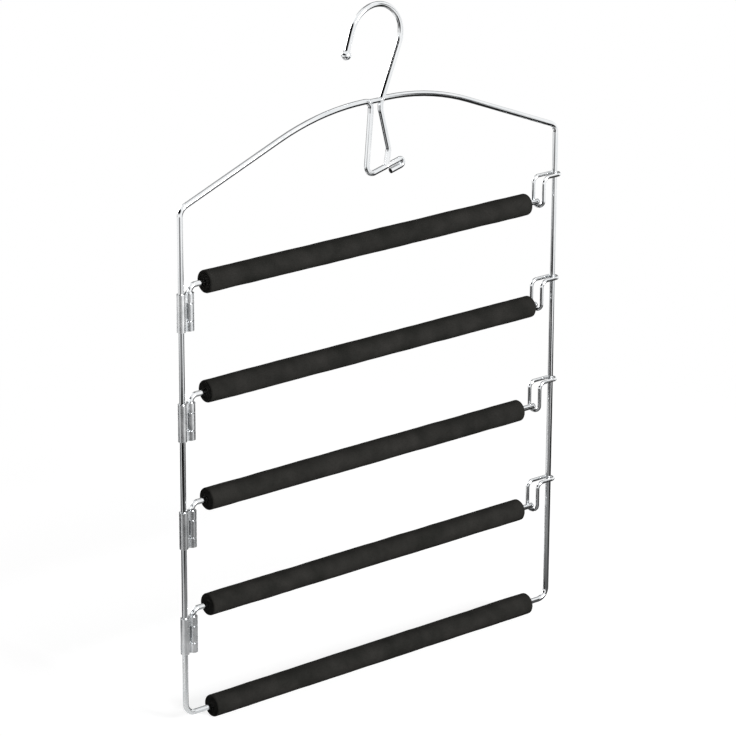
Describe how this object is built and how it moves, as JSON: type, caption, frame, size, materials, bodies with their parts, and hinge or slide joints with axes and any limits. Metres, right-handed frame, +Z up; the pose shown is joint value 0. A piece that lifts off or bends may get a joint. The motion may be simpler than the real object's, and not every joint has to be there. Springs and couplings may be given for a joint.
{
  "type": "trouser hanger",
  "caption": "Flat wire trouser hanger with a rod hook over an arched frame and foam-covered bars stacked inside it; the bars above the bottom one swing out on side hinges for loading.",
  "frame": {"origin": "centre of the top hook's curve, on the axis of the closet rod that it hangs from", "axes": "+Z up, +X across the frame from the hinge side to the side where the arm tips rest, -Y the front, to which the arms swing out"},
  "size_m": [0.3888, 0.018, 0.5517],
  "materials": {
    "chrome_steel": "polished",
    "black_foam": "matte"
  },
  "bodies": {
    "frame": {"frame_wire": "chrome_steel", "hook_wire": "chrome_steel", "hook_tip_ball": "chrome_steel", "hinge_clip_1": "chrome_steel", "hinge_clip_2": "chrome_steel", "hinge_clip_3": "chrome_steel", "hinge_clip_4": "chrome_steel", "tip_saddle_1": "chrome_steel", "tip_saddle_2": "chrome_steel", "tip_saddle_3": "chrome_steel", "tip_saddle_4": "chrome_steel", "bottom_foam_sleeve": "black_foam"},
    "arm_1": {"swing_arm_1": "chrome_steel", "foam_sleeve_1": "black_foam"},
    "arm_2": {"swing_arm_2": "chrome_steel", "foam_sleeve_2": "black_foam"},
    "arm_3": {"swing_arm_3": "chrome_steel", "foam_sleeve_3": "black_foam"},
    "arm_4": {"swing_arm_4": "chrome_steel", "foam_sleeve_4": "black_foam"}
  },
  "joints": [
    {"name": "swing_1", "type": "hinge", "parent": "frame", "child": "arm_1", "pos_m": [-0.182, 0, -0.1645], "axis": [0, 0, -1], "range_deg": [0, 135]},
    {"name": "swing_2", "type": "hinge", "parent": "frame", "child": "arm_2", "pos_m": [-0.182, 0, -0.2525], "axis": [0, 0, -1], "range_deg": [0, 135]},
    {"name": "swing_3", "type": "hinge", "parent": "frame", "child": "arm_3", "pos_m": [-0.182, 0, -0.3405], "axis": [0, 0, -1], "range_deg": [0, 135]},
    {"name": "swing_4", "type": "hinge", "parent": "frame", "child": "arm_4", "pos_m": [-0.182, 0, -0.4285], "axis": [0, 0, -1], "range_deg": [0, 135]}
  ]
}
